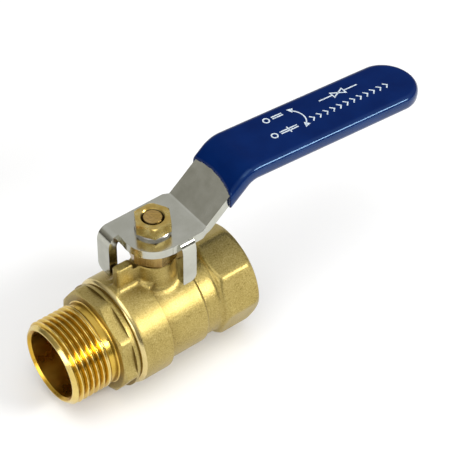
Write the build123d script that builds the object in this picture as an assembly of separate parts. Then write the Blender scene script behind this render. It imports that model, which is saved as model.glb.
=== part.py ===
from build123d import *
import math
import os

# Lever-operated brass ball valve, G 3/4 male by G 3/4 female, shown open.
# Frame: X is the flow axis (male end at -X), Z is the stem axis (lever on top),
# and the origin is the centre of the ball. All sizes are in millimetres.

# ---- driving dimensions ----------------------------------------------------
# Pipe thread G 3/4 (14 threads per inch)
THREAD_MAJOR_R = 26.441 / 2
THREAD_MINOR_R = 24.117 / 2
THREAD_PITCH = 25.4 / 14

# Flow path
BALL_R = 14.0
PORT_R = 9.5
SEAT_PORT_R = 9.8
INLET_R = 10.6
SEAT_R = 12.5
SEAT_FRONT_X = 8.2
SEAT_BACK_X = 12.6
RUNNING_GAP = 0.1
FIT_GAP = 0.05

# Body barrel, along X
WRENCH_FLATS = 31.0
OCTAGON_R = WRENCH_FLATS / 2 / math.cos(math.radians(22.5))
BODY_FRONT_X = -16.6
BARREL_R = 16.95
BARREL_END_X = -5.4
WAIST_R = 15.4
WAIST_END_X = 8.7
NECK_R = 14.5
OCTAGON_FRONT_X = 14.4
OCTAGON_CHAMFER = 0.6
OCTAGON_CORNER_R = 16.55
FEMALE_FACE_X = 27.4
FEMALE_DEPTH = 12.6

# Tail piece, along X
MALE_FACE_X = -37.6
THREAD_END_X = -25.2
RELIEF_R = 12.9
TAIL_OCTAGON_X = (-22.2, -18.3)
TAIL_OCTAGON_TURN = 10.5
FLANGE_R = 16.4
SPIGOT_R = 14.6
SPIGOT_END_X = -10.6

# Stem boss and gland, along Z
BOSS_R = 6.55
BOSS_TOP_Z = 23.3
STEM_R = 3.5
STEM_BORE_R = 3.75
COLLAR_R = 5.0
COLLAR_Z = (14.4, 16.1)
COLLAR_POCKET_R = 5.3
COLLAR_POCKET_TOP_Z = 17.0
O_RING_Z = (17.9, 19.3)
O_RING_SECTION_R = 0.5
GROOVE_WIDTH = 1.2
GROOVE_R = 2.68
GLAND_R = 5.15
GLAND_FLOOR_Z = 20.2
PACKING_HEIGHT = 1.4
GLAND_FLATS = 14.0
GLAND_HEAD_Z = (24.4, 29.4)
GLAND_TURN = 11.0

# Stop lug beside the boss, with a lower shoulder on its +Y side
LUG_X = (-13.8, -8.3)
LUG_Y = (-1.7, 1.3)
LUG_TOP_Z = 25.0
SHOULDER_X = (-12.3, -6.0)
SHOULDER_Y = (0.0, 3.3)
SHOULDER_TOP_Z = 21.8

# Ball slot and stem tongue
SLOT_WIDTH = 4.2
SLOT_FLOOR_Z = 11.0
TONGUE_WIDTH = 4.0
TONGUE_LENGTH = 8.4

# Lever, a pressed steel strip
STRIP = 2.8
LEVER_TOP_Z = 33.0
LEVER_UNDER_Z = LEVER_TOP_Z - STRIP
LOBE_R = 9.5
PLATE_HALF_WIDTH = 9.64
PLATE_END_X = 10.5
STRIP_HALF_WIDTH = 8.7
BEND_1_X = 12.7
RISER_ANGLE = 40.0
RISE = 12.8
GRIP_DROOP = 4.6
LEVER_TIP_X = 96.0
BEND_1_R = 2.4
BEND_2_R = 7.0
EAR_1_Y = (3.9, 9.64)
EAR_1_X = -12.8
EAR_1_BOTTOM_Z = 17.9
EAR_2_X = (2.3, 7.0)
EAR_2_Y = -11.2
EAR_2_BOTTOM_Z = 17.3
EAR_1_BEND = (3.1, 4.2)
EAR_2_BEND = (2.2, 4.2)
EAR_INNER_BEND = (0.9, 1.6)
EAR_NEAR_CORNER_R = 0.5
EAR_FAR_CORNER_R = 2.2

# Dipped vinyl sleeve on the lever
SLEEVE_WALL = 1.1
SLEEVE_START_X = 21.8

# Lever fastener, M6
THREAD_M6_R = 3.0
STEM_FLATS = 5.2
STEM_TOP_Z = 37.7
WASHER_R = 5.4
WASHER_HEIGHT = 1.0
NUT_FLATS = 10.0
NUT_TOP_Z = 37.8
NUT_TURN = 0.0


# ---- helpers ---------------------------------------------------------------
def turned_x(points):
    """Solid of revolution about X from (x, radius) points."""
    return revolve(Plane.XZ * make_face(Polyline(*points, close=True)), Axis.X)


def turned_z(points):
    """Solid of revolution about Z from (radius, z) points."""
    return revolve(Plane.XZ * make_face(Polyline(*points, close=True)), Axis.Z)


def rod_x(radius, x0, x1):
    """Cylinder along X between two stations."""
    return extrude(Plane((x0, 0, 0), x_dir=(0, 1, 0), z_dir=(1, 0, 0)) * Circle(radius), x1 - x0)


def rod_z(radius, z0, z1):
    """Cylinder along Z between two heights."""
    return Pos(0, 0, z0) * extrude(Circle(radius), z1 - z0)


def octagon_x(turn, x0, x1):
    """Octagonal prism along X, WRENCH_FLATS across, with one corner at the given turn from +Y."""
    section = RegularPolygon(WRENCH_FLATS / 2, 8, major_radius=False, rotation=turn)
    return extrude(Plane((x0, 0, 0), x_dir=(0, 1, 0), z_dir=(1, 0, 0)) * section, x1 - x0)


def hexagon_z(flats, turn, z0, z1):
    """Hexagonal prism along Z, with one corner at the given turn from +X."""
    section = RegularPolygon(flats / 2, 6, major_radius=False, rotation=turn)
    return Pos(0, 0, z0) * extrude(section, z1 - z0)


def block(xs, ys, zs):
    """Box between two corners, given as ranges."""
    size = [b - a for a, b in (xs, ys, zs)]
    centre = [(a + b) / 2 for a, b in (xs, ys, zs)]
    return Pos(*centre) * Box(*size)


# ---- body ------------------------------------------------------------------
def body_barrel():
    """Outer turned shape: barrel, waist and neck, each edge broken by a chamfer."""
    return turned_x([
        (BODY_FRONT_X, 0),
        (BODY_FRONT_X, 16.0),
        (BODY_FRONT_X + 1.5, BARREL_R),
        (BARREL_END_X - 1.1, BARREL_R),
        (BARREL_END_X - 0.15, WAIST_R + 0.1),
        (BARREL_END_X, WAIST_R),
        (WAIST_END_X - 1.3, WAIST_R),
        (WAIST_END_X, NECK_R),
        (FEMALE_FACE_X - 1.0, NECK_R),
        (FEMALE_FACE_X - 1.0, 0),
    ])


def body_octagon():
    """Octagonal wrench end, chamfered at both ends, its corners turned down a little."""
    flats = octagon_x(0, OCTAGON_FRONT_X, FEMALE_FACE_X)
    by_end = flats.edges().group_by(Axis.X)
    flats = chamfer(by_end[0] + by_end[-1], OCTAGON_CHAMFER)
    return flats & rod_x(OCTAGON_CORNER_R, OCTAGON_FRONT_X, FEMALE_FACE_X)


def boss_with_lug():
    """Stem boss, and the stop lug joined to it by a lower web and a shoulder."""
    boss = rod_z(BOSS_R, 8, BOSS_TOP_Z)
    boss = chamfer(boss.edges().group_by(Axis.Z)[-1], 0.35)
    lug = block(LUG_X, LUG_Y, (8, LUG_TOP_Z))
    lug = fillet(lug.edges().filter_by(Axis.Z).sort_by(Axis.X)[:2], 0.6)
    lug = fillet(lug.edges().group_by(Axis.Z)[-1], 0.4)
    web = block((LUG_X[1] - 0.5, -BOSS_R / 2), LUG_Y, (8, BOSS_TOP_Z - 0.3))
    shoulder = block(SHOULDER_X, SHOULDER_Y, (8, SHOULDER_TOP_Z))
    return boss + lug + web + shoulder


def body_cavity():
    """Everything bored out along X: tail socket, ball chamber, seat pocket, port, female end."""
    bore_x = FEMALE_FACE_X - FEMALE_DEPTH
    return turned_x([
        (BODY_FRONT_X - 1, 0),
        (BODY_FRONT_X - 1, SPIGOT_R + 0.05),
        (SPIGOT_END_X + 0.2, SPIGOT_R + 0.05),
        (SPIGOT_END_X + 0.2, BALL_R + 0.3),
        (4.0, BALL_R + 0.3),
        (6.5, SEAT_R + 0.4),
        (6.5, SEAT_R + 0.05),
        (SEAT_BACK_X, SEAT_R + 0.05),
        (SEAT_BACK_X, SEAT_PORT_R),
        (bore_x - 0.9, SEAT_PORT_R),
        (bore_x, THREAD_MINOR_R),
        (FEMALE_FACE_X - 1.5, THREAD_MINOR_R),
        (FEMALE_FACE_X, THREAD_MAJOR_R + 0.3),
        (FEMALE_FACE_X + 1, THREAD_MAJOR_R + 0.3),
        (FEMALE_FACE_X + 1, 0),
    ])


def stem_passage():
    """Stepped bore through the boss for the collar, the stem and the gland."""
    return turned_z([
        (0, 5),
        (COLLAR_POCKET_R, 5),
        (COLLAR_POCKET_R, COLLAR_POCKET_TOP_Z),
        (STEM_BORE_R, COLLAR_POCKET_TOP_Z),
        (STEM_BORE_R, GLAND_FLOOR_Z),
        (GLAND_R + 0.05, GLAND_FLOOR_Z),
        (GLAND_R + 0.05, BOSS_TOP_Z + 1),
        (0, BOSS_TOP_Z + 1),
    ])


def make_body():
    outside = body_barrel() + body_octagon() + boss_with_lug()
    return outside - body_cavity() - stem_passage()


# ---- tail piece ------------------------------------------------------------
def make_tail_piece():
    turned = turned_x([
        (MALE_FACE_X, 0),
        (MALE_FACE_X, 11.8),
        (MALE_FACE_X + 1.5, THREAD_MAJOR_R),
        (THREAD_END_X, THREAD_MAJOR_R),
        (THREAD_END_X + 0.35, RELIEF_R),
        (TAIL_OCTAGON_X[1] - 0.5, RELIEF_R),
        (TAIL_OCTAGON_X[1] - 0.5, 15.4),
        (TAIL_OCTAGON_X[1], FLANGE_R),
        (TAIL_OCTAGON_X[1] + 0.9, FLANGE_R),
        (BODY_FRONT_X - 0.35, 15.7),
        (BODY_FRONT_X, 15.7),
        (BODY_FRONT_X, SPIGOT_R),
        (SPIGOT_END_X, SPIGOT_R),
        (SPIGOT_END_X, 0),
    ])
    flats = octagon_x(TAIL_OCTAGON_TURN, *TAIL_OCTAGON_X)
    limit = turned_x([
        (TAIL_OCTAGON_X[0], 0),
        (TAIL_OCTAGON_X[0], WRENCH_FLATS / 2 - 0.2),
        (TAIL_OCTAGON_X[0] + 0.8, OCTAGON_R + 0.1),
        (TAIL_OCTAGON_X[1] + 0.1, OCTAGON_R + 0.1),
        (TAIL_OCTAGON_X[1] + 0.1, 0),
    ])
    bore = turned_x([
        (MALE_FACE_X - 1, 0),
        (MALE_FACE_X - 1, 11.6),
        (MALE_FACE_X, 11.6),
        (MALE_FACE_X + 0.9, INLET_R),
        (-SEAT_BACK_X - 6, INLET_R),
        (-SEAT_BACK_X - 5.2, SEAT_PORT_R),
        (-SEAT_BACK_X, SEAT_PORT_R),
        (-SEAT_BACK_X, SEAT_R + 0.05),
        (SPIGOT_END_X + 1, SEAT_R + 0.05),
        (SPIGOT_END_X + 1, 0),
    ])
    return turned + (flats & limit) - bore


# ---- ball, seats and stem --------------------------------------------------
def make_ball():
    port = rod_x(PORT_R, -BALL_R, BALL_R)
    slot = block((-BALL_R, BALL_R), (-SLOT_WIDTH / 2, SLOT_WIDTH / 2), (SLOT_FLOOR_Z, BALL_R))
    return Sphere(BALL_R) - port - slot


def make_seat(side):
    """Seat ring with a spherical face; side is -1 at the tail piece, +1 at the body."""
    face_r = BALL_R + RUNNING_GAP
    bore_x = math.sqrt(face_r ** 2 - SEAT_PORT_R ** 2)
    front_r = math.sqrt(face_r ** 2 - SEAT_FRONT_X ** 2)
    start = math.degrees(math.atan2(SEAT_PORT_R, bore_x))
    stop = math.degrees(math.atan2(front_r, SEAT_FRONT_X))
    face = CenterArc((0, 0), face_r, start, stop - start)
    sides = Polyline(
        (SEAT_FRONT_X, front_r),
        (SEAT_FRONT_X, SEAT_R),
        (SEAT_BACK_X, SEAT_R),
        (SEAT_BACK_X, SEAT_PORT_R),
        (bore_x, SEAT_PORT_R),
    )
    ring = revolve(Plane.XZ * make_face([face, sides]), Axis.X)
    return ring if side > 0 else mirror(ring, Plane.YZ)


def stem_flats(clearance):
    """Double-D section that turns with the lever."""
    half = STEM_FLATS / 2 + clearance
    return Circle(STEM_R + clearance) & Rectangle(4 * STEM_R, 2 * half)


def make_stem():
    """Tongue, collar, grooved shaft, double-D seat for the lever and M6 end."""
    tongue_x = (-TONGUE_LENGTH / 2, TONGUE_LENGTH / 2)
    tongue_y = (-TONGUE_WIDTH / 2, TONGUE_WIDTH / 2)
    tongue = block(tongue_x, tongue_y, (SLOT_FLOOR_Z + 0.2, COLLAR_Z[0]))
    tongue = tongue & rod_z(COLLAR_R, 0, COLLAR_Z[1])
    shaft = rod_z(COLLAR_R, *COLLAR_Z) + rod_z(STEM_R, COLLAR_Z[1], LEVER_UNDER_Z)
    for z in O_RING_Z:
        low, high = z - GROOVE_WIDTH / 2, z + GROOVE_WIDTH / 2
        shaft = shaft - (rod_z(STEM_R + 1, low, high) - rod_z(GROOVE_R, low, high))
    seat = Pos(0, 0, LEVER_UNDER_Z) * extrude(stem_flats(0), STRIP)
    end = rod_z(THREAD_M6_R, LEVER_TOP_Z, STEM_TOP_Z)
    end = chamfer(end.edges().group_by(Axis.Z)[-1], 0.3)
    return tongue + shaft + seat + end


def make_o_ring(z):
    """O-ring in its stem groove, a running fit in the stem bore."""
    return Pos(0, 0, z) * Torus(STEM_BORE_R - 0.06 - O_RING_SECTION_R, O_RING_SECTION_R)


def make_thrust_washer():
    ring = rod_z(COLLAR_R + 0.2, COLLAR_Z[1] + RUNNING_GAP, COLLAR_POCKET_TOP_Z)
    return ring - rod_z(STEM_R + FIT_GAP, 0, STEM_TOP_Z)


def make_packing_ring():
    ring = rod_z(GLAND_R, GLAND_FLOOR_Z, GLAND_FLOOR_Z + PACKING_HEIGHT)
    return ring - rod_z(STEM_R + FIT_GAP, 0, STEM_TOP_Z)


def make_gland_nut():
    """Hexagonal head on the boss, with a threaded shank pressing on the packing."""
    low, high = GLAND_HEAD_Z
    half = GLAND_FLATS / 2
    limit = turned_z([
        (0, low),
        (half, low),
        (half + 1.5, low + 0.9),
        (half + 1.5, high - 0.9),
        (half - 0.2, high),
        (0, high),
    ])
    head = hexagon_z(GLAND_FLATS, GLAND_TURN, low, high) & limit
    shank = rod_z(GLAND_R, GLAND_FLOOR_Z + PACKING_HEIGHT, low)
    return head + shank - rod_z(STEM_R + FIT_GAP, 0, STEM_TOP_Z)


# ---- lever -----------------------------------------------------------------
def lever_centreline(x_end):
    """Mid-plane of the bent strip in side view, as (x, z) points with bend radii."""
    z_plate = LEVER_TOP_Z - STRIP / 2
    bend_2_x = BEND_1_X + RISE / math.tan(math.radians(RISER_ANGLE))
    z_grip = z_plate + RISE
    z_end = z_grip - (x_end - bend_2_x) * math.tan(math.radians(GRIP_DROOP))
    points = [(5.0, z_plate), (BEND_1_X, z_plate), (bend_2_x, z_grip), (x_end, z_end)]
    return FilletPolyline(*points, radius=[BEND_1_R, BEND_2_R])


def bent_strip(thickness, half_width, x_end):
    """Strip of constant thickness along the lever's side profile."""
    section = Plane.XZ * trace(lever_centreline(x_end), thickness)
    return extrude(section, half_width, both=True)


def grip_outline(half_width, x0, x_tip):
    """Plan view of the grip: straight sides and a full round tip."""
    straight = Pos((x0 + x_tip - half_width) / 2, 0) * Rectangle(x_tip - half_width - x0, 2 * half_width)
    tip = Pos(x_tip - half_width, 0) * Circle(half_width)
    return extrude(straight + tip, 80)


def lever_plate():
    """Flat part round the stem: a lobe, squared off where the ears and the riser leave it."""
    w = PLATE_HALF_WIDTH
    riser_x = BEND_1_X - 0.3
    corners = [
        (-9.3, 0),
        (-9.3, w),
        (PLATE_END_X, w),
        (riser_x, STRIP_HALF_WIDTH),
        (riser_x, -STRIP_HALF_WIDTH),
        (PLATE_END_X, -w),
        (0, -w),
        (0, 0),
    ]
    outline = Circle(LOBE_R) + make_face(Polyline(*corners, close=True))
    return Pos(0, 0, LEVER_UNDER_Z) * extrude(outline, STRIP)


def ear_profile(root, face, bend, bottom):
    """Side view of an ear: out of the plate, over a bend and straight down, as (reach, z)."""
    inner = face - STRIP
    run, drop = bend
    inner_run, inner_drop = EAR_INNER_BEND
    over = EllipticalCenterArc((face - run, LEVER_TOP_Z - drop), run, drop, 0, arc_size=90)
    under_centre = (inner - inner_run, LEVER_UNDER_Z - inner_drop)
    under = EllipticalCenterArc(under_centre, inner_run, inner_drop, 0, arc_size=90)
    in_plate = Polyline(over @ 1, (root, LEVER_TOP_Z), (root, LEVER_UNDER_Z), under @ 1)
    hanging = Polyline(under @ 0, (inner, bottom), (face, bottom), over @ 0)
    return make_face([over, in_plate, under, hanging])


def make_ear(plane, profile, half_width, toward_stop):
    """Ear pressed down from the plate's edge, sharper at the corner that meets the stop."""
    ear = extrude(plane * profile, half_width, both=True)
    low_edges = ear.edges().group_by(Axis.Z)[0].filter_by(Axis((0, 0, 0), plane.x_dir))
    far, near = low_edges.sort_by(Axis((0, 0, 0), toward_stop))
    return fillet(near, EAR_NEAR_CORNER_R).fillet(EAR_FAR_CORNER_R, [far])


def lever_ears():
    """Ear 1 on the -X side and ear 2 on the -Y side; each meets the stop lug at one end of travel."""
    mid_1 = sum(EAR_1_Y) / 2
    mid_2 = sum(EAR_2_X) / 2
    plane_1 = Plane((0, mid_1, 0), x_dir=(-1, 0, 0), z_dir=(0, 1, 0))
    plane_2 = Plane((mid_2, 0, 0), x_dir=(0, -1, 0), z_dir=(-1, 0, 0))
    profile_1 = ear_profile(7.0, -EAR_1_X, EAR_1_BEND, EAR_1_BOTTOM_Z)
    profile_2 = ear_profile(7.0, -EAR_2_Y, EAR_2_BEND, EAR_2_BOTTOM_Z)
    half_1 = (EAR_1_Y[1] - EAR_1_Y[0]) / 2
    half_2 = (EAR_2_X[1] - EAR_2_X[0]) / 2
    ear_1 = make_ear(plane_1, profile_1, half_1, (0, -1, 0))
    ear_2 = make_ear(plane_2, profile_2, half_2, (-1, 0, 0))
    return ear_1, ear_2


def steel_strip():
    """Riser and grip of the lever, with a full round tip."""
    strip = bent_strip(STRIP, STRIP_HALF_WIDTH, LEVER_TIP_X + 3)
    return strip & grip_outline(STRIP_HALF_WIDTH, 4, LEVER_TIP_X)


def make_lever():
    ear_1, ear_2 = lever_ears()
    hole = extrude(stem_flats(0.03), 80)
    return lever_plate() + steel_strip() + ear_1 + ear_2 - hole


def make_sleeve():
    """Dipped vinyl skin round the grip, closed at the tip and open at the riser."""
    half = STRIP_HALF_WIDTH + SLEEVE_WALL
    skin = bent_strip(STRIP + 2 * SLEEVE_WALL, half, LEVER_TIP_X + 5)
    skin = skin & grip_outline(half, SLEEVE_START_X, LEVER_TIP_X + SLEEVE_WALL)
    return skin - steel_strip()


# ---- lever fastener --------------------------------------------------------
def make_lock_washer():
    """Split spring washer under the nut."""
    top = LEVER_TOP_Z + WASHER_HEIGHT
    ring = rod_z(WASHER_R, LEVER_TOP_Z, top) - rod_z(THREAD_M6_R + 0.1, 0, top + 1)
    rim = ring.edges().filter_by(GeomType.CIRCLE).group_by(Axis.Z)[-1].sort_by(SortBy.RADIUS)[-1:]
    ring = chamfer(rim, 0.25)
    split = Rot(0, 0, 60) * block((0, 2 * WASHER_R), (-0.4, 0.4), (LEVER_TOP_Z - 1, top + 1))
    return ring - split


def make_lever_nut():
    """Hexagon nut, chamfered at the top."""
    low = LEVER_TOP_Z + WASHER_HEIGHT
    half = NUT_FLATS / 2
    limit = turned_z([
        (0, low),
        (half + 2.0, low),
        (half + 2.0, NUT_TOP_Z - 0.95),
        (half + 0.3, NUT_TOP_Z),
        (0, NUT_TOP_Z),
    ])
    hole_r = THREAD_M6_R + FIT_GAP
    hole = turned_z([
        (0, low - 1),
        (hole_r, low - 1),
        (hole_r, NUT_TOP_Z - 0.5),
        (hole_r + 0.5, NUT_TOP_Z),
        (hole_r + 0.5, NUT_TOP_Z + 1),
        (0, NUT_TOP_Z + 1),
    ])
    return (hexagon_z(NUT_FLATS, NUT_TURN, low, NUT_TOP_Z) & limit) - hole


# ---- write the parts -------------------------------------------------------
NODES = {
    "body": make_body,
    "tail_piece": make_tail_piece,
    "seat_ring_tail_side": lambda: make_seat(-1),
    "seat_ring_body_side": lambda: make_seat(1),
    "ball": make_ball,
    "stem": make_stem,
    "stem_o_ring_lower": lambda: make_o_ring(O_RING_Z[0]),
    "stem_o_ring_upper": lambda: make_o_ring(O_RING_Z[1]),
    "thrust_washer": make_thrust_washer,
    "packing_ring": make_packing_ring,
    "gland_nut": make_gland_nut,
    "lever": make_lever,
    "lever_sleeve": make_sleeve,
    "lock_washer": make_lock_washer,
    "lever_nut": make_lever_nut,
}

os.makedirs("parts", exist_ok=True)
for name, make in NODES.items():
    export_step(make(), f"parts/{name}.step")
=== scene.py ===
import math

import bpy
import numpy as np
from mathutils import Matrix, Vector


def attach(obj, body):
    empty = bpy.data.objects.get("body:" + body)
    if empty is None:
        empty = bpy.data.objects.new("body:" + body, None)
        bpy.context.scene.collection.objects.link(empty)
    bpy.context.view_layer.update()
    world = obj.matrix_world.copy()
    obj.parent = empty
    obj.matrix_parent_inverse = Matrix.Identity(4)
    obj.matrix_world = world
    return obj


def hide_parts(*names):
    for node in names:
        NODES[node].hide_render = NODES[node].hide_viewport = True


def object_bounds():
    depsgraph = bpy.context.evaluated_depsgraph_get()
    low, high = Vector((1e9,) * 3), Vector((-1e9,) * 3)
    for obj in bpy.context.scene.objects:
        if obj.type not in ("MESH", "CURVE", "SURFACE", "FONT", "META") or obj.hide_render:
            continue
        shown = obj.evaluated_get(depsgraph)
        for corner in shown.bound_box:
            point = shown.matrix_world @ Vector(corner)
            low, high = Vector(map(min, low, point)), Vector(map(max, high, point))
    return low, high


# Looks of the lever ball valve. Shapes are in millimetres, and MM turns them into metres;
# lights, camera and texture scales are in metres. X is the flow axis, Z the stem axis,
# and the origin is the ball's centre.

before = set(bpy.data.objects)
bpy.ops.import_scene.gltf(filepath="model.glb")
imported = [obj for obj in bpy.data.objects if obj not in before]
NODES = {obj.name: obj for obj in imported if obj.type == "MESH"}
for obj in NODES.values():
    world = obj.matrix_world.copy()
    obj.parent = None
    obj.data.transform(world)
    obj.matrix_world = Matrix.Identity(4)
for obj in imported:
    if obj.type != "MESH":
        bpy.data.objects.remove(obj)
cad_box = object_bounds()
MM = 0.001

# ---- sizes that the looks share with the CAD model ---------------------------
THREAD_MAJOR_R = 26.441 / 2
THREAD_MINOR_R = 24.117 / 2
THREAD_PITCH = 25.4 / 14
THREAD_PHASE_X = -33.09
THREAD_FADE = 1.0
# Halves of the flats on crest and root, as shares of the pitch
THREAD_CREST_FLAT = 0.045
THREAD_ROOT_FLAT = 0.09
WRENCH_FLATS = 31.0
BARREL_R = 16.95
WAIST_R = 15.4
NECK_R = 14.5
BOSS_R = 6.55
STRIP = 2.8


# ---- mesh helpers ------------------------------------------------------------
def make_object(name, vertices, faces, smooth_angle=35.0):
    """Object in metres from vertices in millimetres, smooth except at sharp edges."""
    mesh = bpy.data.meshes.new(name)
    mesh.from_pydata((np.asarray(vertices) * MM).tolist(), [], [list(face) for face in faces])
    mesh.validate()
    mesh.update()
    obj = bpy.data.objects.new(name, mesh)
    bpy.context.scene.collection.objects.link(obj)
    mesh.shade_smooth()
    mesh.set_sharp_from_angle(angle=math.radians(smooth_angle))
    return obj


def rounded(points, radius, steps=4):
    """Polyline with its corners rounded; a point may carry its own radius as a third number."""
    out = [points[0][:2]]
    for before, corner, after in zip(points, points[1:], points[2:]):
        r = corner[2] if len(corner) > 2 else radius
        p, a, b = (np.array(q[:2], float) for q in (corner, before, after))
        la, lb = np.linalg.norm(a - p), np.linalg.norm(b - p)
        ua, ub = (a - p) / la, (b - p) / lb
        half = math.acos(float(np.clip(ua @ ub, -1, 1))) / 2
        setback = min(r / max(math.tan(half), 1e-6), la * 0.45, lb * 0.45)
        if r == 0 or abs(half - math.pi / 2) < 1e-3:
            out.append(tuple(p))
            continue
        for i in range(steps + 1):
            t = i / steps
            start, end = p + ua * setback, p + ub * setback
            out.append(tuple((1 - t) ** 2 * start + 2 * t * (1 - t) * p + t ** 2 * end))
    out.append(points[-1][:2])
    return out


def densified(points, step):
    """Polyline with no run longer than the step."""
    out = [points[0]]
    for a, b in zip(points, points[1:]):
        n = max(1, math.ceil(math.dist(a, b) / step))
        dx, dr = b[0] - a[0], b[1] - a[1]
        out += [(a[0] + dx * i / n, a[1] + dr * i / n) for i in range(1, n + 1)]
    return out


def turned(profile, radius_rule=None, around=360):
    """Surface of revolution about X of an (x, r) profile, closed where the profile is.

    radius_rule(x, r, theta) may change the radius round the turn, as threads and flats do.
    """
    x, r = (np.array(c, float)[:, None] for c in zip(*profile))
    theta = np.linspace(0, 2 * np.pi, around, endpoint=False)[None, :]
    radius = radius_rule(x, r, theta) if radius_rule else r + 0 * theta
    grid = np.stack([x + 0 * theta, radius * np.cos(theta), radius * np.sin(theta)], -1)
    rows, cols = grid.shape[:2]
    i, j = np.meshgrid(np.arange(rows - 1), np.arange(cols), indexing="ij")
    j2 = (j + 1) % cols
    quads = np.stack([i * cols + j, i * cols + j2, (i + 1) * cols + j2, (i + 1) * cols + j], -1)
    return grid.reshape(-1, 3), quads.reshape(-1, 4)


def closed_ring(name, profile, radius_rule=None, around=360):
    """Hollow turned piece: the profile is a loop, listed once round."""
    vertices, faces = turned(profile + profile[:1], radius_rule, around)
    rows = len(profile)
    faces = np.where(faces >= rows * around, faces - rows * around, faces)
    return make_object(name, vertices[: rows * around], faces)


def plug_solid(name, profile, radius_rule=None, around=360):
    """Solid turned piece used as a cutter: the profile starts and ends near the axis."""
    vertices, faces = turned(profile, radius_rule, around)
    count = len(vertices)
    ends = [[profile[0][0], 0, 0], [profile[-1][0], 0, 0]]
    vertices = np.vstack([vertices, ends])
    j = np.arange(around)
    j2 = (j + 1) % around
    last = count - around
    first_cap = np.stack([j2, j, np.full(around, count)], -1)
    last_cap = np.stack([last + j, last + j2, np.full(around, count + 1)], -1)
    return make_object(name, vertices, faces.tolist() + first_cap.tolist() + last_cap.tolist())


def thread_depth(x, theta, start, stop):
    """Depth of a right-hand G 3/4 thread below its crests, fading to zero at start and stop."""
    phase = (x - THREAD_PHASE_X) / THREAD_PITCH - (theta - np.pi) / (2 * np.pi)
    off_crest = np.abs(phase - np.round(phase))
    flank = 0.5 - THREAD_CREST_FLAT - THREAD_ROOT_FLAT
    t = np.clip((off_crest - THREAD_CREST_FLAT) / flank, 0, 1)
    run_in, run_out = (x - start) / THREAD_FADE, (stop - x) / THREAD_FADE
    window = np.clip(run_in, 0, 1) * np.clip(run_out, 0, 1)
    return (THREAD_MAJOR_R - THREAD_MINOR_R) * t * window


def octagon_radius(theta, turn):
    """Distance from the axis to an octagon's outline, corners slightly rounded."""
    step = np.pi / 4
    off_flat = np.mod(theta - math.radians(turn), step) - step / 2
    flat = WRENCH_FLATS / 2 / np.cos(off_flat)
    corner = WRENCH_FLATS / 2 / math.cos(step / 2) - 0.28
    return soft_min(flat, corner, 0.25)


def soft_min(a, b, k):
    """Smooth minimum: a fillet of about k where two surfaces meet."""
    h = np.clip(0.5 + 0.5 * (b - a) / k, 0, 1)
    return b + (a - b) * h - k * h * (1 - h)


def soft_max(a, b, k):
    return -soft_min(-a, -b, k)


# ---- surfaces from distance fields -------------------------------------------
def field_mesh(name, field, low, high, step):
    """Closed mesh of the zero level of field(x, y, z), by surface nets, pulled onto the level."""
    axes = [np.arange(a, b + step, step) for a, b in zip(low, high)]
    values = field(axes[0][:, None, None], axes[1][None, :, None], axes[2][None, None, :])
    inside = values < 0
    shape = np.array(inside.shape) - 1
    corner_sum = np.zeros(shape, int)
    for dx in (0, 1):
        for dy in (0, 1):
            for dz in (0, 1):
                corner_sum += inside[dx:dx + shape[0], dy:dy + shape[1], dz:dz + shape[2]]
    cells = np.argwhere((corner_sum > 0) & (corner_sum < 8))
    index = np.full(shape, -1)
    index[tuple(cells.T)] = np.arange(len(cells))
    points = (cells + 0.5) * step + np.array(low)
    quads = []
    for axis in range(3):
        u, v = (axis + 1) % 3, (axis + 2) % 3
        first = inside[tuple(slice(0, -1) if a == axis else slice(None) for a in range(3))]
        second = inside[tuple(slice(1, None) if a == axis else slice(None) for a in range(3))]
        for flip, crossing in ((False, first & ~second), (True, ~first & second)):
            edge = np.argwhere(crossing)
            edge = edge[(edge[:, u] > 0) & (edge[:, v] > 0)]
            ring = []
            for du, dv in ((1, 1), (0, 1), (0, 0), (1, 0)):
                cell = edge.copy()
                cell[:, u] -= du
                cell[:, v] -= dv
                ring.append(index[tuple(cell.T)])
            quads.append(np.stack(ring[::-1] if flip else ring, -1))
    points = pull_to_level(field, points, step)
    return make_object(name, points, np.vstack(quads))


def pull_to_level(field, points, step, rounds=4):
    """Newton steps along the field's gradient."""
    h = step * 0.05
    for _ in range(rounds):
        x, y, z = points.T
        value = field(x, y, z)
        gradient = np.stack([
            field(x + h, y, z) - field(x - h, y, z),
            field(x, y + h, z) - field(x, y - h, z),
            field(x, y, z + h) - field(x, y, z - h),
        ], -1) / (2 * h)
        move = gradient * (value / np.maximum((gradient ** 2).sum(-1), 1e-3))[:, None]
        length = np.linalg.norm(move, axis=-1, keepdims=True)
        points = points - move * np.minimum(1, step * 0.7 / np.maximum(length, 1e-9))
    return points


def cut(target, *cutters):
    """Boolean difference, with the result as the target's own mesh."""
    for cutter in cutters:
        modifier = target.modifiers.new("cut", "BOOLEAN")
        modifier.operation = "DIFFERENCE"
        modifier.solver = "MANIFOLD"
        modifier.object = cutter
    depsgraph = bpy.context.evaluated_depsgraph_get()
    result = bpy.data.meshes.new_from_object(target.evaluated_get(depsgraph))
    target.modifiers.clear()
    target.data = result
    for cutter in cutters:
        bpy.data.objects.remove(cutter)
    result.shade_smooth()
    result.set_sharp_from_angle(angle=math.radians(35))
    return target


# ---- tail piece with the male thread -----------------------------------------
TAIL_OCTAGON_TURN = 10.5
TAIL_THREAD = (-39.0, -25.4)
TAIL_MOUTH_END_X = -36.1


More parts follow.
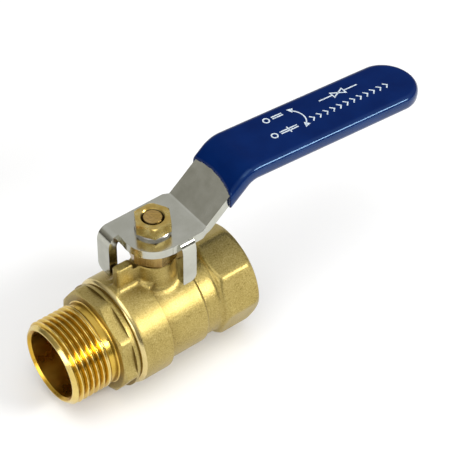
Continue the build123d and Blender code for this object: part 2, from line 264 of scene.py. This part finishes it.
def tail_profile():
    """Half section of the tail piece as an (x, r, corner radius) loop."""
    outside = [
        (-37.6, 11.3, 0), (-37.6, 11.75, 0.15), (-36.15, 13.22, 0.1), (-25.3, 13.22, 0.25),
        (-24.8, 12.9, 0.4), (-22.2, 12.9, 0.5), (-22.2, 15.25, 0.3), (-21.3, 16.9, 0.3),
        (-18.6, 16.9, 0.2), (-18.35, 16.4, 0.2), (-17.3, 16.4, 0.3), (-16.95, 15.75, 0.1),
        (-16.6, 15.7, 0.05), (-16.6, 14.6, 0.05), (-10.9, 14.6, 0.1), (-10.6, 14.3, 0.1),
    ]
    inside = [
        (-10.6, 12.55, 0.05), (-12.6, 12.55, 0.05), (-12.6, 9.8, 0.1), (-17.8, 9.8, 0.2),
        (-18.6, 10.6, 0.2), (-36.85, 10.6, 0.15), (-37.55, 11.25, 0.05), (-37.6, 11.3, 0),
    ]
    return densified(rounded(outside + inside, 0.1), 0.07)[:-1]


def tail_radius(x, r, theta):
    """Thread on the outer skin at the male end, flats on the collar."""
    outer_skin = (r > 11.5) & (x < -25.2)
    threaded = THREAD_MAJOR_R - thread_depth(x, theta, *TAIL_THREAD)
    collar = (r > 13.0) & (x > -22.4) & (x < -18.3)
    radius = np.where(outer_skin, np.minimum(r + 0 * theta, threaded), r + 0 * theta)
    return np.where(collar, np.minimum(radius, octagon_radius(theta, TAIL_OCTAGON_TURN)), radius)


def make_tail():
    return closed_ring("tail_piece_threaded", tail_profile(), tail_radius, around=480)


# ---- body --------------------------------------------------------------------
BARREL_X = (-16.6, -5.4)
BARREL_BEVEL = 1.0
WAIST_X = (-10.0, 8.7)
NECK_X = (0.0, 26.0)
OCTAGON_X = (14.4, 27.4)
OCTAGON_CORNER_R = 16.55
OCTAGON_FRONT_R = 15.3
OCTAGON_BACK_R = 15.35
FACED_END_X = -15.2
BOSS_TOP_Z = 23.3
BODY_THREAD = (14.5, 29.0)


def drum(x, radial, x0, x1, radius, k):
    """Distance to a cylinder along X with edges rounded by k."""
    along = np.abs(x - (x0 + x1) / 2) - (x1 - x0) / 2
    return soft_max(radial - radius, along, k)


def slab(v, low, high):
    return np.abs(v - (low + high) / 2) - (high - low) / 2


def octagon_end(x, y, z, radial):
    """Octagonal female end, its corners turned off and its two ends bevelled."""
    flats = -1e9
    for i in range(4):
        a = math.radians(22.5) + i * math.pi / 4
        flats = np.maximum(flats, np.abs(y * math.cos(a) + z * math.sin(a)))
    front, back = OCTAGON_X
    octagon = soft_max(flats - WRENCH_FLATS / 2, radial - OCTAGON_CORNER_R, 0.35)
    octagon = soft_max(octagon, slab(x, front, back), 0.5)
    octagon = soft_max(octagon, (radial - (x - front) - OCTAGON_FRONT_R) * 0.7, 0.6)
    return soft_max(octagon, (radial + (x - back) * 0.75 - OCTAGON_BACK_R) * 0.8, 0.7)


def block(x, y, z, x_range, y_range, top, k):
    """Upright block on the barrel, its sides met with rounds of k[0] and its top with k[1]."""
    return soft_max(soft_max(slab(x, *x_range), slab(y, *y_range), k[0]), slab(z, 8, top), k[1])


def body_field(x, y, z):
    """Outside of the forged body, with the soft edges and fillets of a forging."""
    radial = np.sqrt(y * y + z * z)
    bevel = (radial - (BARREL_R - BARREL_BEVEL) - (x - BARREL_X[0])) * 0.7
    barrel = soft_max(drum(x, radial, *BARREL_X, BARREL_R, 0.4), bevel, 0.7)
    waist = drum(x, radial, *WAIST_X, WAIST_R, 0.9)
    neck = drum(x, radial, *NECK_X, NECK_R, 0.3)
    turned_part = soft_min(soft_min(barrel, waist, 0.12), neck, 0.5)
    turned_part = soft_min(turned_part, octagon_end(x, y, z, radial), 1.1)
    boss = soft_max(np.sqrt(x * x + y * y) - BOSS_R, slab(z, 8, BOSS_TOP_Z), 0.5)
    lug = block(x, y, z, (-13.8, -8.3), (-1.7, 1.3), 25.0, (0.7, 0.6))
    web = block(x, y, z, (-9.2, -3.3), (-1.7, 1.3), 23.0, (0.4, 0.4))
    shoulder = block(x, y, z, (-12.3, -6), (0, 3.3), 21.8, (0.4, 0.4))
    stops = soft_min(soft_min(lug, web, 0.3), shoulder, 0.3)
    return soft_min(turned_part, soft_min(boss, stops, 0.9), 1.9)


def cavity_radius(x, r, theta):
    """Female thread on the wall of the socket."""
    socket = (x > 14.6) & (r > 12.0)
    threaded = THREAD_MAJOR_R - thread_depth(x, theta, *BODY_THREAD)
    return np.where(socket, np.maximum(r + 0 * theta, threaded), r + 0 * theta)


def cavity_cutter():
    """Flow path through the body: room for tail piece and ball, seat, port and female thread."""
    profile = [
        (-18, 0.02, 0), (-18, 14.65, 0), (-10.4, 14.65, 0), (-10.4, 14.3, 0), (4.0, 14.3, 0),
        (6.5, 12.9, 0), (6.5, 12.55, 0), (12.6, 12.55, 0), (12.6, 9.8, 0), (13.9, 9.8, 0),
        (14.8, THREAD_MINOR_R, 0.2), (26.3, THREAD_MINOR_R, 0.1), (27.4, 13.5, 0.1),
        (28.4, 14.5, 0), (28.4, 0.02, 0),
    ]
    return plug_solid("cavity_cutter", densified(rounded(profile, 0), 0.09), cavity_radius)


def passage_cutter():
    """Passage for the stem, its collar and its packing, turned upright."""
    profile = [
        (5, 0.02), (5, 5.3), (17, 5.3), (17, 3.75), (20.2, 3.75), (20.2, 5.2),
        (24.5, 5.2), (24.5, 0.02),
    ]
    cutter = plug_solid("passage_cutter", profile, around=96)
    cutter.data.transform(Matrix.Rotation(math.radians(-90), 4, "Y"))
    return cutter


def make_body():
    low, high = (-17.6, -18.1, -18.1), (28.4, 18.1, 26.0)
    outside = field_mesh("body_forging", body_field, low, high, 0.33)
    return cut(outside, cavity_cutter(), passage_cutter())


# ---- lever sleeve ------------------------------------------------------------
LEVER_TOP_Z = 33.0
BEND_1_X = 12.7
RISER_ANGLE = 40.0
RISE = 12.8
GRIP_DROOP = 4.6
LEVER_TIP_X = 96.0
STRIP_HALF_WIDTH = 8.7
SLEEVE_WALL = 1.1
SLEEVE_START_X = 21.8
BEND_2_X = BEND_1_X + RISE / math.tan(math.radians(RISER_ANGLE))
BEND_2_R = 7.0


def strip_distance(x, z):
    """Signed height over the strip's mid-plane along the riser and the grip, bend included."""
    z_plate = LEVER_TOP_Z - STRIP / 2
    riser, droop = math.radians(RISER_ANGLE), math.radians(GRIP_DROOP)
    over_riser = (z - z_plate) * math.cos(riser) - (x - BEND_1_X) * math.sin(riser)
    over_grip = (z - z_plate - RISE) * math.cos(droop) + (x - BEND_2_X) * math.sin(droop)
    reach = BEND_2_R / math.cos((riser + droop) / 2)
    lean = (riser - droop) / 2
    cx, cz = BEND_2_X + reach * math.sin(lean), z_plate + RISE - reach * math.cos(lean)
    lean_here = np.arctan2(x - cx, z - cz)
    over_bend = np.hypot(x - cx, z - cz) - BEND_2_R
    in_bend = (lean_here > -riser) & (lean_here < droop)
    return np.where(in_bend, over_bend, np.maximum(over_riser, over_grip))


def grip_plan(x, y, half_width, tip_x):
    """Distance to the grip's outline seen from above: straight sides, full round tip."""
    past = np.maximum(x - (tip_x - half_width), 0)
    return np.sqrt(past * past + y * y) - half_width


def sleeve_field(x, y, z):
    """Vinyl skin round the strip, its mouth cut in a slanting arc."""
    half = STRIP_HALF_WIDTH + SLEEVE_WALL
    side = grip_plan(x, y, half, LEVER_TIP_X + SLEEVE_WALL)
    thickness = np.abs(strip_distance(x, z)) - (STRIP / 2 + SLEEVE_WALL)
    skin = soft_max(side, thickness, 2.2)
    mouth = SLEEVE_START_X + 0.5 + 0.06 * y - 0.015 * y * y - x
    skin = soft_max(skin, mouth, 0.6)
    steel_side = grip_plan(x, y, STRIP_HALF_WIDTH, LEVER_TIP_X)
    steel = np.maximum(steel_side, np.abs(strip_distance(x, z)) - STRIP / 2)
    return np.maximum(skin, -steel)


def make_sleeve():
    low, high = (18.5, -10.6, 31.0), (98.0, 10.6, 49.5)
    return field_mesh("sleeve_vinyl", sleeve_field, low, high, 0.35)


# ---- printed marks on the sleeve ---------------------------------------------
INK_WIDTH = 0.42
INK_RANGE = (-0.08, 0.05)


def grip_top(x):
    """Height of the sleeve's flat top."""
    droop = math.radians(GRIP_DROOP)
    lift = STRIP / 2 + SLEEVE_WALL - (x - BEND_2_X) * math.sin(droop)
    return LEVER_TOP_Z - STRIP / 2 + RISE + lift / math.cos(droop)


def unit(v):
    return v / np.maximum(np.linalg.norm(v, axis=-1, keepdims=True), 1e-9)


def stroke(points, closed=False):
    """Thin raised ribbon along a polyline on the grip's top, given as (x, y) points."""
    p = np.array(points, float)
    before, after = np.roll(p, 1, 0), np.roll(p, -1, 0)
    if not closed:
        before[0], after[-1] = 2 * p[0] - p[1], 2 * p[-1] - p[-2]
    along, side = unit(unit(p - before) + unit(after - p)), unit(p - before)
    normal = np.stack([-along[:, 1], along[:, 0]], -1)
    side_normal = np.stack([-side[:, 1], side[:, 0]], -1)
    reach = INK_WIDTH / 2 / (normal * side_normal).sum(-1, keepdims=True)
    left, right = p + normal * reach, p - normal * reach
    low, high = INK_RANGE
    corners = [on_grip(left, low), on_grip(left, high), on_grip(right, high), on_grip(right, low)]
    vertices = np.stack(corners, 1).reshape(-1, 3)
    n = len(p)
    faces = []
    for i in range(n if closed else n - 1):
        a, b = 4 * i, 4 * ((i + 1) % n)
        faces += [(a + k, b + k, b + (k + 1) % 4, a + (k + 1) % 4) for k in range(4)]
    if not closed:
        faces += [(0, 1, 2, 3), tuple(4 * n - k for k in (1, 2, 3, 4))]
    return vertices, faces


def patch(points):
    """Small raised convex polygon on the grip's top, its points listed clockwise."""
    p = np.array(points, float)
    n = len(p)
    vertices = np.vstack([on_grip(p, INK_RANGE[0]), on_grip(p, INK_RANGE[1])])
    sides = [(i, (i + 1) % n, (i + 1) % n + n, i + n) for i in range(n)]
    return vertices, sides + [tuple(range(n))[::-1], tuple(range(n, 2 * n))]


def on_grip(points, lift):
    """Points (x, y) set at a lift over the grip's flat top."""
    return np.column_stack([points, grip_top(points[:, 0]) + lift])


def arc_points(cx, cy, radius, start, stop, count=16):
    angles = np.radians(np.linspace(start, stop, count))
    return np.column_stack([cx + radius * np.cos(angles), cy + radius * np.sin(angles)])


def turning_arrow():
    """Curved arrow with a head at each end, for the lever's two ways."""
    arc = arc_points(51.6, 1.5, 4.4, -50, 52)
    left_head = patch([(53.3, 6.1), (54.1, 4.2), (55.4, 5.7)])
    right_head = patch([(53.3, -3.2), (55.5, -2.6), (54.1, -1.1)])
    return [stroke(arc), left_head, right_head]


def state_marks():
    """Two small symbols: a passage with the bar along it, and one with the bar across it."""
    ring_1 = arc_points(45.2, 5.4, 0.95, 0, 345, 24)
    ring_2 = arc_points(43.0, -1.3, 0.95, 0, 345, 24)
    along = [stroke([(47.3, y), (51.2, y)]) for y in (5.0, 5.8)]
    across = [stroke([(45.2, y), (51.6, y)]) for y in (-1.7, -0.9)]
    bar = stroke([(48.4, -2.6), (48.4, 0.0)])
    return [stroke(ring_1, closed=True)] + along + across + [stroke(ring_2, closed=True), bar]


def valve_symbol():
    """Drawing-office sign of a valve: two triangles tip to tip between pipe lines."""
    left = [(69.4, 2.9), (71.6, 4.0), (69.4, 5.1)]
    right = [(73.8, 2.9), (71.6, 4.0), (73.8, 5.1)]
    pipes = [stroke([(64.2, 4.0), (69.2, 4.0)]), stroke([(74.0, 4.0), (79.0, 4.0)])]
    return pipes + [stroke(left, closed=True), stroke(right, closed=True)]


def flow_chevrons():
    """Row of chevrons along the flow."""
    starts = np.arange(57.0, 86.0, 2.6)
    return [stroke([(x, -2.2), (x + 1.1, -1.1), (x, 0.0)]) for x in starts]


def make_print():
    """All the printed marks as one piece."""
    vertices, faces = [], []
    pieces = turning_arrow() + state_marks() + valve_symbol() + flow_chevrons()
    for piece_vertices, piece_faces in pieces:
        offset = sum(len(v) for v in vertices)
        vertices.append(piece_vertices)
        faces += [tuple(i + offset for i in face) for face in piece_faces]
    return make_object("sleeve_print", np.vstack(vertices), faces)


# ---- materials ---------------------------------------------------------------
def new_material(name, color, roughness, metallic=0.0, **sockets):
    """Principled material; constants go straight on the shader's sockets."""
    material = bpy.data.materials.new(name)
    material.use_nodes = True
    shader = material.node_tree.nodes["Principled BSDF"]
    shader.inputs["Base Color"].default_value = (*color, 1)
    shader.inputs["Roughness"].default_value = roughness
    shader.inputs["Metallic"].default_value = metallic
    for socket, value in sockets.items():
        shader.inputs[socket.replace("_", " ")].default_value = value
    return material


def add_noise(material, scale, detail=3.0, stretch=(1, 1, 1)):
    """Noise over the object's own coordinates; scale is in cells per metre."""
    nodes, links = material.node_tree.nodes, material.node_tree.links
    coordinates = nodes.new("ShaderNodeTexCoord")
    mapping = nodes.new("ShaderNodeMapping")
    mapping.inputs["Scale"].default_value = stretch
    noise = nodes.new("ShaderNodeTexNoise")
    noise.inputs["Scale"].default_value = scale
    noise.inputs["Detail"].default_value = detail
    links.new(coordinates.outputs["Object"], mapping.inputs["Vector"])
    links.new(mapping.outputs["Vector"], noise.inputs["Vector"])
    return noise.outputs["Fac"]


def mixed(material, first, second, share):
    """Two noises added, the second with the given share."""
    nodes, links = material.node_tree.nodes, material.node_tree.links
    mix = nodes.new("ShaderNodeMix")
    mix.inputs["Factor"].default_value = share
    links.new(first, mix.inputs["A"])
    links.new(second, mix.inputs["B"])
    return mix.outputs["Result"]


def set_stops(node, stops):
    """Stops of a colour ramp node."""
    elements = node.color_ramp.elements
    while len(elements) < len(stops):
        elements.new(0.5)
    for element, (position, color) in zip(elements, stops):
        element.position = position
        element.color = (*color, 1)


def ramp(material, value, stops):
    """Colour ramp of (position, colour) stops driven by value."""
    node = material.node_tree.nodes.new("ShaderNodeValToRGB")
    set_stops(node, stops)
    material.node_tree.links.new(value, node.inputs["Fac"])
    return node.outputs["Color"]


def vary_roughness(material, value, low, high):
    """Roughness between low and high as a noise value rises."""
    nodes, links = material.node_tree.nodes, material.node_tree.links
    node = nodes.new("ShaderNodeMapRange")
    node.inputs["From Min"].default_value = 0.3
    node.inputs["From Max"].default_value = 0.7
    node.inputs["To Min"].default_value = low
    node.inputs["To Max"].default_value = high
    links.new(value, node.inputs["Value"])
    links.new(node.outputs["Result"], nodes["Principled BSDF"].inputs["Roughness"])


def vary_color(material, value, stops):
    """Base colour from a ramp driven by value."""
    tree = material.node_tree
    tree.links.new(ramp(material, value, stops), tree.nodes["Principled BSDF"].inputs["Base Color"])


def add_bump(material, value, strength, depth):
    """Relief of the given depth in metres."""
    nodes, links = material.node_tree.nodes, material.node_tree.links
    shader = nodes["Principled BSDF"]
    bump = nodes.new("ShaderNodeBump")
    bump.inputs["Strength"].default_value = strength
    bump.inputs["Distance"].default_value = depth
    links.new(value, bump.inputs["Height"])
    if shader.inputs["Normal"].is_linked:
        links.new(shader.inputs["Normal"].links[0].from_socket, bump.inputs["Normal"])
    links.new(bump.outputs["Normal"], shader.inputs["Normal"])


def satin_brass():
    """Sand-blasted forged brass: fine pits, faint tarnish, and painted shade in its inside corners.
    """
    material = new_material("satin_brass_blasted", (0.42, 0.32, 0.10), 0.4, metallic=1.0)
    grain = add_noise(material, 2500, 2.0)
    cloud = add_noise(material, 160, 4.0)
    speckle = mixed(material, grain, cloud, 0.25)
    vary_color(material, speckle, [
        (0.34, (0.27, 0.20, 0.06)), (0.45, (0.39, 0.30, 0.095)),
        (0.56, (0.44, 0.34, 0.115)), (0.66, (0.52, 0.42, 0.17)),
    ])
    vary_roughness(material, grain, 0.32, 0.48)
    add_bump(material, grain, 0.7, 0.00009)
    # Painted shade: base colour darkened in inside corners by ambient occlusion.
    paint_shade_and_highlight(material, inside_corners(material, 0.0035), [(0.45, (0.52, 0.45, 0.35)), (0.98, (1, 1, 1))])
    return material


def distance_from_axis(material, across, low, high):
    """0..1 over a range of distance from an axis; across is 0 along that axis, 1 elsewhere."""
    nodes, links = material.node_tree.nodes, material.node_tree.links
    coordinates = nodes.new("ShaderNodeTexCoord")
    mapping = nodes.new("ShaderNodeMapping")
    mapping.inputs["Scale"].default_value = across
    length = nodes.new("ShaderNodeVectorMath")
    length.operation = "LENGTH"
    scaled = nodes.new("ShaderNodeMapRange")
    scaled.inputs["From Min"].default_value = low
    scaled.inputs["From Max"].default_value = high
    links.new(coordinates.outputs["Object"], mapping.inputs["Vector"])
    links.new(mapping.outputs["Vector"], length.inputs[0])
    links.new(length.outputs["Value"], scaled.inputs["Value"])
    return scaled.outputs["Result"]


def paint_shade_and_highlight(material, distance, stops):
    """Painted shade and painted highlight: the base colour multiplied by a ramp over the distance,
    darker under 1 and lighter over 1.
    """
    nodes, links = material.node_tree.nodes, material.node_tree.links
    base = nodes["Principled BSDF"].inputs["Base Color"]
    mix = nodes.new("ShaderNodeMix")
    mix.data_type = "RGBA"
    mix.blend_type = "MULTIPLY"
    mix.inputs["Factor"].default_value = 1.0
    links.new(base.links[0].from_socket, mix.inputs[6])
    links.new(ramp(material, distance, stops), mix.inputs[7])
    links.new(mix.outputs[2], base)


def inside_corners(material, reach):
    """0..1, low in inside corners; reach in metres."""
    occlusion = material.node_tree.nodes.new("ShaderNodeAmbientOcclusion")
    occlusion.samples = 8
    occlusion.inputs["Distance"].default_value = reach
    return occlusion.outputs["AO"]


def turned_brass(name, dull=(0.63, 0.45, 0.09), bright=(0.75, 0.55, 0.15)):
    """Machined brass with tool marks round the pipe axis."""
    material = new_material(name, bright, 0.2, metallic=1.0)
    marks = add_noise(material, 300, 3.0, stretch=(22, 0.4, 0.4))
    cloud = add_noise(material, 200, 3.0)
    vary_color(material, cloud, [(0.3, dull), (0.7, bright)])
    vary_roughness(material, marks, 0.15, 0.28)
    add_bump(material, marks, 0.2, 0.00002)
    return material


def threaded_brass():
    """Turned brass, with painted highlight paling the thread crests and painted shade darkening the
    roots.
    """
    material = turned_brass("turned_brass_threaded")
    depth = distance_from_axis(material, (0, 1, 1), 0.0119, 0.0133)
    # Painted shade in the thread roots and painted highlight on the crests, by distance from the pipe
    # axis.
    paint_shade_and_highlight(material, depth, [
        (0.1, (0.5, 0.42, 0.2)), (0.55, (0.85, 0.76, 0.5)),
        (0.84, (0.95, 0.88, 0.7)), (0.92, (1.1, 1.18, 1.9)),
    ])
    return material


def bore_brass():
    """Reamed brass inside the pipe end, darker and more orange than the turned brass outside as
    painted shade, bright where light gets in.
    """
    # Painted shade: darker, more orange brass than the turned brass outside.
    material = new_material("reamed_brass_bore", (0.68, 0.42, 0.06), 0.3, metallic=1.0)
    cloud = add_noise(material, 260, 3.0)
    vary_color(material, cloud, [(0.3, (0.54, 0.31, 0.03)), (0.7, (0.64, 0.40, 0.06))])
    vary_roughness(material, cloud, 0.24, 0.36)
    return material


def stem_brass():
    """Stem's rough-sawn end, with painted shade darkening the thread round it."""
    material = turned_brass("turned_brass_stem")
    off_centre = distance_from_axis(material, (1, 1, 0), 0.0022, 0.0031)
    # Painted shade: the stem's thread, in the gap inside the nut, darkened almost to black.
    paint_shade_and_highlight(material, off_centre, [
        (0.0, (0.72, 0.66, 0.95)), (0.5, (0.65, 0.6, 0.85)), (0.62, (0.05, 0.04, 0.03)),
    ])
    add_bump(material, add_noise(material, 1600, 2.0), 0.6, 0.00025)
    return material


def plated_steel():
    """Bright plated sheet steel, faintly clouded."""
    material = new_material("plated_steel_bright", (0.47, 0.47, 0.41), 0.16, metallic=1.0)
    cloud = add_noise(material, 220, 4.0)
    fine = add_noise(material, 1800, 2.0)
    vary_color(material, cloud, [(0.3, (0.43, 0.43, 0.37)), (0.7, (0.51, 0.51, 0.45))])
    vary_roughness(material, cloud, 0.11, 0.22)
    add_bump(material, fine, 0.08, 0.00001)
    return material


def zinc_yellow():
    """Yellow passivated zinc, with painted shade darkening it round the stem's thread."""
    material = new_material("zinc_yellow_nut", (0.56, 0.42, 0.14), 0.24, metallic=1.0)
    cloud = add_noise(material, 450, 3.0)
    vary_color(material, cloud, [
        (0.3, (0.46, 0.31, 0.08)), (0.55, (0.56, 0.42, 0.14)), (0.75, (0.62, 0.50, 0.22)),
    ])
    vary_roughness(material, cloud, 0.18, 0.30)
    add_bump(material, add_noise(material, 1500, 2.0), 0.03, 0.00001)
    # Painted shade: the nut's hole round the stem darkened almost to black.
    off_stem = distance_from_axis(material, (1, 1, 0), 0.0030, 0.0038)
    paint_shade_and_highlight(material, off_stem, [(0.15, (0.05, 0.04, 0.03)), (0.4, (1, 1, 1))])
    return material


def washer_steel():
    """Plated spring steel."""
    material = new_material("washer_spring_steel", (0.45, 0.43, 0.40), 0.2, metallic=1.0)
    cloud = add_noise(material, 500, 3.0)
    vary_color(material, cloud, [(0.3, (0.40, 0.38, 0.35)), (0.7, (0.50, 0.48, 0.44))])
    vary_roughness(material, cloud, 0.15, 0.24)
    return material


def gloss_on_sides(material, flat, side):
    """Specular level from the worn flat of a grip along X to its glossier rounded sides."""
    nodes, links = material.node_tree.nodes, material.node_tree.links
    coordinates = nodes.new("ShaderNodeTexCoord")
    split = nodes.new("ShaderNodeSeparateXYZ")
    sideways = nodes.new("ShaderNodeMath")
    sideways.operation = "ABSOLUTE"
    level = nodes.new("ShaderNodeMapRange")
    level.inputs["From Min"].default_value = 0.1
    level.inputs["From Max"].default_value = 0.5
    level.inputs["To Min"].default_value = flat
    level.inputs["To Max"].default_value = side
    links.new(coordinates.outputs["Normal"], split.inputs["Vector"])
    links.new(split.outputs["Y"], sideways.inputs[0])
    links.new(sideways.outputs["Value"], level.inputs["Value"])
    links.new(level.outputs["Result"], nodes["Principled BSDF"].inputs["Specular IOR Level"])


def navy_vinyl():
    """Dipped vinyl: glossy skin over a slightly uneven surface."""
    material = new_material("navy_dipped_vinyl", (0.0004, 0.012, 0.09), 0.15,
                            Specular_Tint=(0.4, 0.7, 1.0, 1))
    gloss_on_sides(material, 0.08, 0.55)
    cloud = add_noise(material, 120, 3.0)
    vary_color(material, cloud, [(0.3, (0.0002, 0.009, 0.072)), (0.7, (0.0005, 0.013, 0.092))])
    vary_roughness(material, cloud, 0.12, 0.2)
    add_bump(material, add_noise(material, 260, 2.0), 0.06, 0.00008)
    return material


def print_ink():
    """Pale ink, thin in places."""
    material = new_material("print_ink_pale", (0.62, 0.70, 0.76), 0.45)
    wear = add_noise(material, 1800, 3.0)
    vary_color(material, wear, [(0.36, (0.30, 0.38, 0.48)), (0.5, (0.64, 0.72, 0.78))])
    vary_roughness(material, wear, 0.38, 0.52)
    return material


def ptfe_white():
    """Matte white PTFE."""
    material = new_material("ptfe_matte", (0.86, 0.86, 0.83), 0.5, Subsurface_Weight=0.1)
    cloud = add_noise(material, 500, 3.0)
    vary_color(material, cloud, [(0.3, (0.82, 0.82, 0.79)), (0.7, (0.90, 0.90, 0.88))])
    add_bump(material, cloud, 0.1, 0.00002)
    return material


def hard_chrome():
    """Polished hard chrome of the ball."""
    material = new_material("hard_chrome_ball", (0.80, 0.81, 0.82), 0.07, metallic=1.0)
    cloud = add_noise(material, 300, 3.0)
    vary_color(material, cloud, [(0.3, (0.76, 0.77, 0.78)), (0.7, (0.84, 0.85, 0.86))])
    vary_roughness(material, cloud, 0.05, 0.10)
    return material


def nitrile_rubber():
    """Black nitrile of the O-rings."""
    material = new_material("nitrile_rubber", (0.02, 0.02, 0.02), 0.5)
    grain = add_noise(material, 1500, 2.0)
    vary_color(material, grain, [(0.3, (0.015, 0.015, 0.015)), (0.7, (0.03, 0.03, 0.03))])
    add_bump(material, grain, 0.1, 0.00002)
    return material


def dress(obj, material):
    obj.data.materials.clear()
    obj.data.materials.append(material)


def along_and_off_axis(face):
    """Where a face is along the flow axis, and its distance from it."""
    return face.center.x / MM, math.hypot(face.center.y, face.center.z) / MM


def dress_tail(tail):
    """Threads, forged collar, turned mouth and reamed bore each in their own finish; the threads'
    carries painted shade and highlight, the bore's painted shade.
    """
    mouth = turned_brass("turned_brass_mouth", (0.62, 0.46, 0.13), (0.76, 0.59, 0.21))
    for material in (threaded_brass(), SATIN, mouth, bore_brass()):
        tail.data.materials.append(material)
    for face in tail.data.polygons:
        x, radius = along_and_off_axis(face)
        if radius < 11.4:
            face.material_index = 3
        elif x < TAIL_MOUTH_END_X:
            face.material_index = 2
        elif x > -22.3 and radius > 13.3:
            face.material_index = 1


def dress_body(body):
    """Blasted all over, but for the bevel faced bright where the tail piece screws in."""
    faced = turned_brass("turned_brass_faced", (0.58, 0.46, 0.19), (0.70, 0.57, 0.27))
    dress(body, SATIN)
    body.data.materials.append(faced)
    for face in body.data.polygons:
        x, radius = along_and_off_axis(face)
        face.material_index = int(x < FACED_END_X and 15.0 < radius < 17.0)


# ---- assembly ----------------------------------------------------------------
SATIN = satin_brass()

tail = make_tail()
dress_tail(tail)
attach(tail, "valve_body")
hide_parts("tail_piece")

body = make_body()
dress_body(body)
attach(body, "valve_body")
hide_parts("body")

sleeve = make_sleeve()
dress(sleeve, navy_vinyl())
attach(sleeve, "lever_and_ball")
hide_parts("lever_sleeve")

marks = make_print()
dress(marks, print_ink())
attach(marks, "lever_and_ball")

PTFE = ptfe_white()
RUBBER = nitrile_rubber()
FINISHES = {
    "seat_ring_tail_side": PTFE,
    "seat_ring_body_side": PTFE,
    "thrust_washer": PTFE,
    "packing_ring": PTFE,
    "stem_o_ring_lower": RUBBER,
    "stem_o_ring_upper": RUBBER,
    "ball": hard_chrome(),
    "stem": stem_brass(),
    # Gland nut: turned brass darkened to deep brown as painted shade under the lever.
    "gland_nut": turned_brass("turned_brass_gland", (0.27, 0.17, 0.06), (0.48, 0.34, 0.12)),
    "lever": plated_steel(),
    "lock_washer": washer_steel(),
    "lever_nut": zinc_yellow(),
}
for node, finish in FINISHES.items():
    dress(NODES[node], finish)

EDGE_ROUNDS = {"lever": 0.42, "lever_nut": 0.12, "gland_nut": 0.15, "stem": 0.1, "lock_washer": 0.15}


def soften_edges(node, width):
    """Small rounds on a CAD node's sharp edges."""
    bevel = NODES[node].modifiers.new("edge_round", "BEVEL")
    bevel.width = width * MM
    bevel.segments = 3
    bevel.limit_method = "ANGLE"
    bevel.angle_limit = math.radians(30)
    bevel.harden_normals = True


for node, width in EDGE_ROUNDS.items():
    soften_edges(node, width)


# ---- stage -------------------------------------------------------------------
FLOOR_HALF_SIZE = 3000.0
FLOOR_GAP = 0.05


def make_floor():
    """Pale floor just under the valve."""
    h = FLOOR_HALF_SIZE
    z = cad_box[0].z / MM - FLOOR_GAP
    floor = make_object("floor", [(-h, -h, z), (h, -h, z), (h, h, z), (-h, h, z)], [(0, 1, 2, 3)])
    material = new_material("floor_pale", (0.93, 0.93, 0.93), 0.8)
    cloud = add_noise(material, 3, 2.0)
    vary_color(material, cloud, [(0.3, (0.92, 0.92, 0.92)), (0.7, (0.94, 0.94, 0.94))])
    dress(floor, material)


def toward(azimuth, elevation):
    """Unit vector at angles in degrees; azimuth 0 is the -Y side, 90 the +X side."""
    a, e = math.radians(azimuth), math.radians(elevation)
    return Vector((math.sin(a) * math.cos(e), -math.cos(a) * math.cos(e), math.sin(e)))


def make_softbox(name, azimuth, elevation, distance, size, power):
    """Area light aimed at the origin; distance and size in metres, power in watts."""
    direction = toward(azimuth, elevation)
    light = bpy.data.lights.new(name, "AREA")
    light.shape = "RECTANGLE"
    light.size, light.size_y = size
    light.energy = power
    obj = bpy.data.objects.new(name, light)
    obj.location = direction * distance
    obj.rotation_mode = "QUATERNION"
    obj.rotation_quaternion = direction.to_track_quat("Z", "Y")
    bpy.context.scene.collection.objects.link(obj)


def make_world():
    """Studio dome: dim and slightly warm at the horizon, bright overhead."""
    world = bpy.data.worlds.new("studio")
    world.use_nodes = True
    nodes, links = world.node_tree.nodes, world.node_tree.links
    coordinates = nodes.new("ShaderNodeTexCoord")
    split = nodes.new("ShaderNodeSeparateXYZ")
    dome = nodes.new("ShaderNodeValToRGB")
    set_stops(dome, [
        (0.0, (0.10, 0.095, 0.08)), (0.4, (0.36, 0.345, 0.31)), (0.57, (0.47, 0.46, 0.43)),
        (0.7, (0.76, 0.76, 0.76)), (1.0, (0.85, 0.86, 0.88)),
    ])
    links.new(coordinates.outputs["Generated"], split.inputs["Vector"])
    links.new(split.outputs["Z"], dome.inputs["Fac"])
    links.new(dome.outputs["Color"], nodes["Background"].inputs["Color"])
    bpy.context.scene.world = world


CAMERA_AZIMUTH, CAMERA_ELEVATION, CAMERA_ROLL = -38.468, 44.868, 0.696
CAMERA_PLACE = (-0.21874, -0.30815, 0.41033)
CAMERA_SENSOR, CAMERA_LENS = 36.0, 150.46


def make_camera():
    azimuth, roll = math.radians(CAMERA_AZIMUTH), math.radians(CAMERA_ROLL)
    back = toward(CAMERA_AZIMUTH, CAMERA_ELEVATION)
    level = Vector((math.cos(azimuth), math.sin(azimuth), 0))
    upright = back.cross(level)
    right = level * math.cos(roll) + upright * math.sin(roll)
    up = upright * math.cos(roll) - level * math.sin(roll)
    camera = bpy.data.cameras.new("camera")
    camera.sensor_width = CAMERA_SENSOR
    camera.lens = CAMERA_LENS
    camera.clip_start, camera.clip_end = 0.01, 20
    obj = bpy.data.objects.new("camera", camera)
    rotation = Matrix((right, up, back)).transposed()
    obj.matrix_world = Matrix.Translation(CAMERA_PLACE) @ rotation.to_4x4()
    bpy.context.scene.collection.objects.link(obj)
    bpy.context.scene.camera = obj


make_floor()
make_world()
make_camera()
make_softbox("key_softbox", 37, 28, 0.9, (0.42, 0.16), 5.3)
make_softbox("left_softbox", -74, 17, 0.9, (0.5, 0.3), 2.3)
make_softbox("back_softbox", 155, 12, 0.9, (0.9, 0.3), 0.6)
make_softbox("top_softbox", -60, 75, 1.2, (0.9, 0.9), 4.5)
bpy.context.scene.view_settings.view_transform = "Standard"
